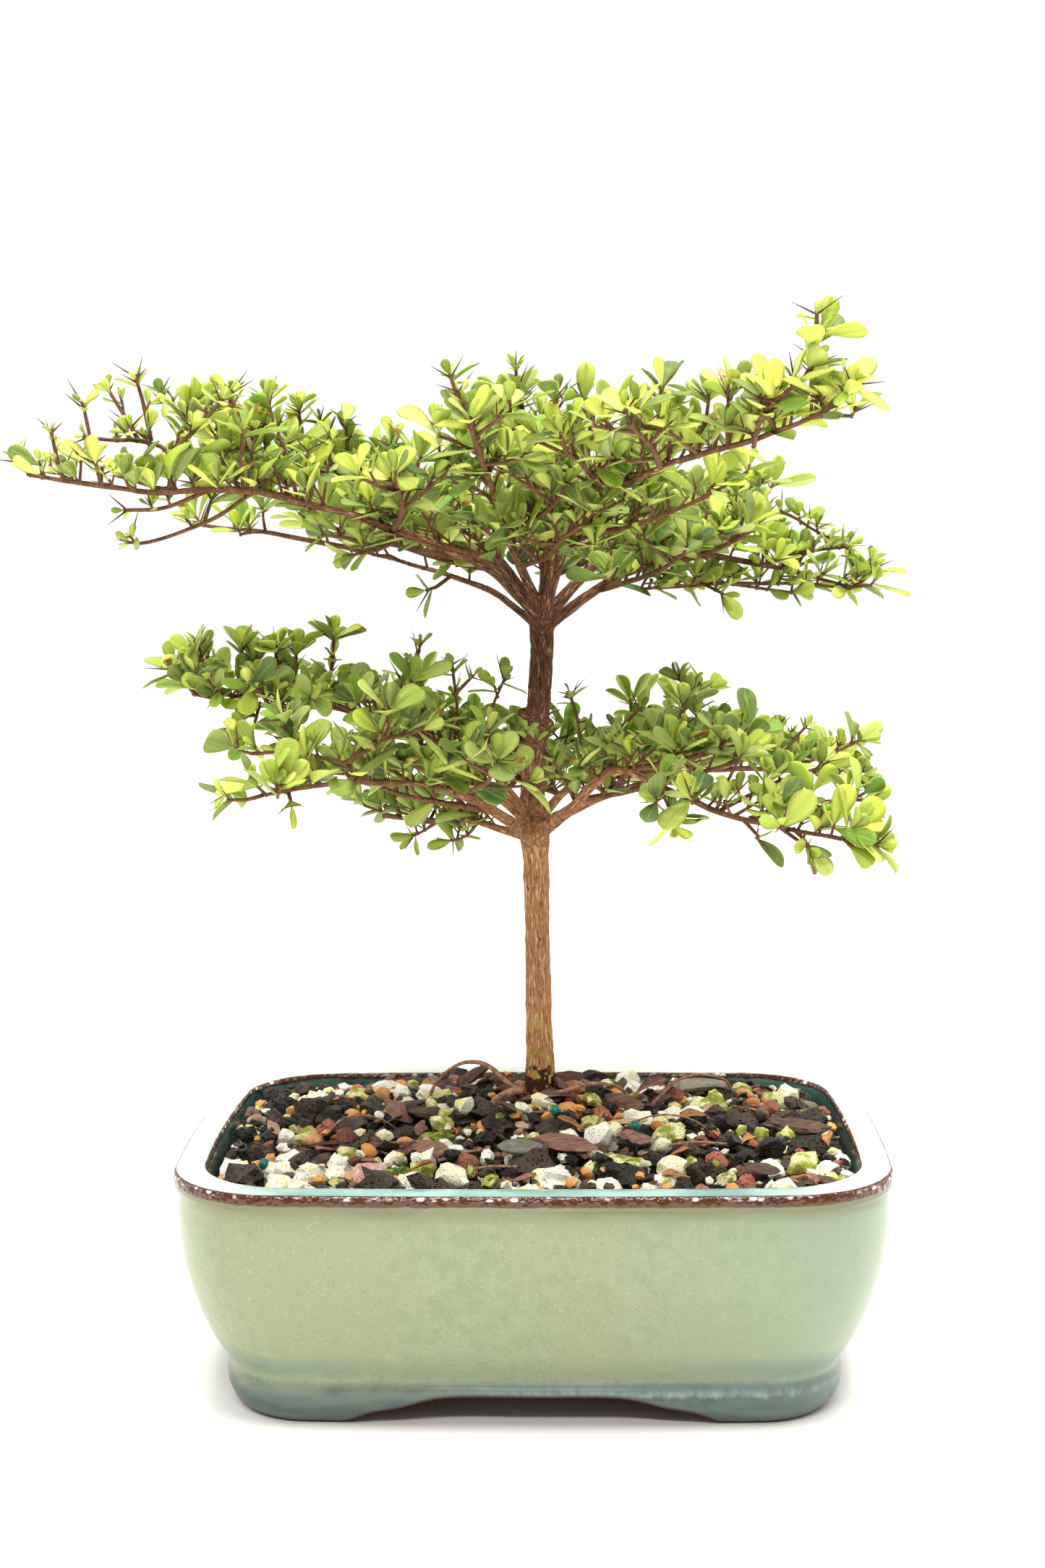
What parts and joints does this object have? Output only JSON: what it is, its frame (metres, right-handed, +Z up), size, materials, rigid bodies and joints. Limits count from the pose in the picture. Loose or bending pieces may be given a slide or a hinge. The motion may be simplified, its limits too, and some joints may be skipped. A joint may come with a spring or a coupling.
{
  "type": "black olive bonsai",
  "caption": "Miniature tiered tree with small rounded leaves on spreading limbs, growing in coarse grit in a footed rectangular glazed pot.",
  "frame": {"origin": "centre of the whole object's box, on the surface that the pot's feet stand on", "axes": "+Z up, -Y towards the pot's long front side, +X to the right seen from the front"},
  "size_m": [0.2448, 0.2418, 0.2944],
  "materials": {
    "celadon_glaze": "gloss",
    "black_plastic": "matte",
    "grit": "matte",
    "bark": "matte",
    "foliage": "satin"
  },
  "bodies": {
    "root": {"pot": "celadon_glaze", "drain_screen_left": "black_plastic", "drain_screen_right": "black_plastic", "soil": "grit", "trunk": "bark", "low_front_left_end": "foliage", "low_front_left_1": "foliage", "low_front_left_2": "foliage", "low_left_end": "foliage", "low_left_1": "foliage", "low_left_2": "foliage", "low_back_left_end": "foliage", "low_back_left_1": "foliage", "low_under_left_end": "foliage", "low_front_right_end": "foliage", "low_front_right_1": "foliage", "low_front_right_2": "foliage", "low_right_end": "foliage", "low_right_1": "foliage", "low_right_2": "foliage", "low_back_right_end": "foliage", "low_back_right_1": "foliage", "up_left_end": "foliage", "up_left_1": "foliage", "up_left_2": "foliage", "up_left_3": "foliage", "up_left_low_end": "foliage", "up_left_top_end": "foliage", "up_left_top_1": "foliage", "up_back_left_end": "foliage", "up_back_left_1": "foliage", "up_back_left_2": "foliage", "up_back_end": "foliage", "up_back_1": "foliage", "up_back_right_end": "foliage", "up_back_right_1": "foliage", "up_back_right_2": "foliage", "up_right_end": "foliage", "up_right_1": "foliage", "up_right_2": "foliage", "up_front_right_end": "foliage", "up_front_right_1": "foliage", "up_front_right_2": "foliage", "up_front_right_3": "foliage", "up_front_end": "foliage", "up_front_1": "foliage", "up_front_2": "foliage", "up_top_end": "foliage"}
  },
  "joints": []
}
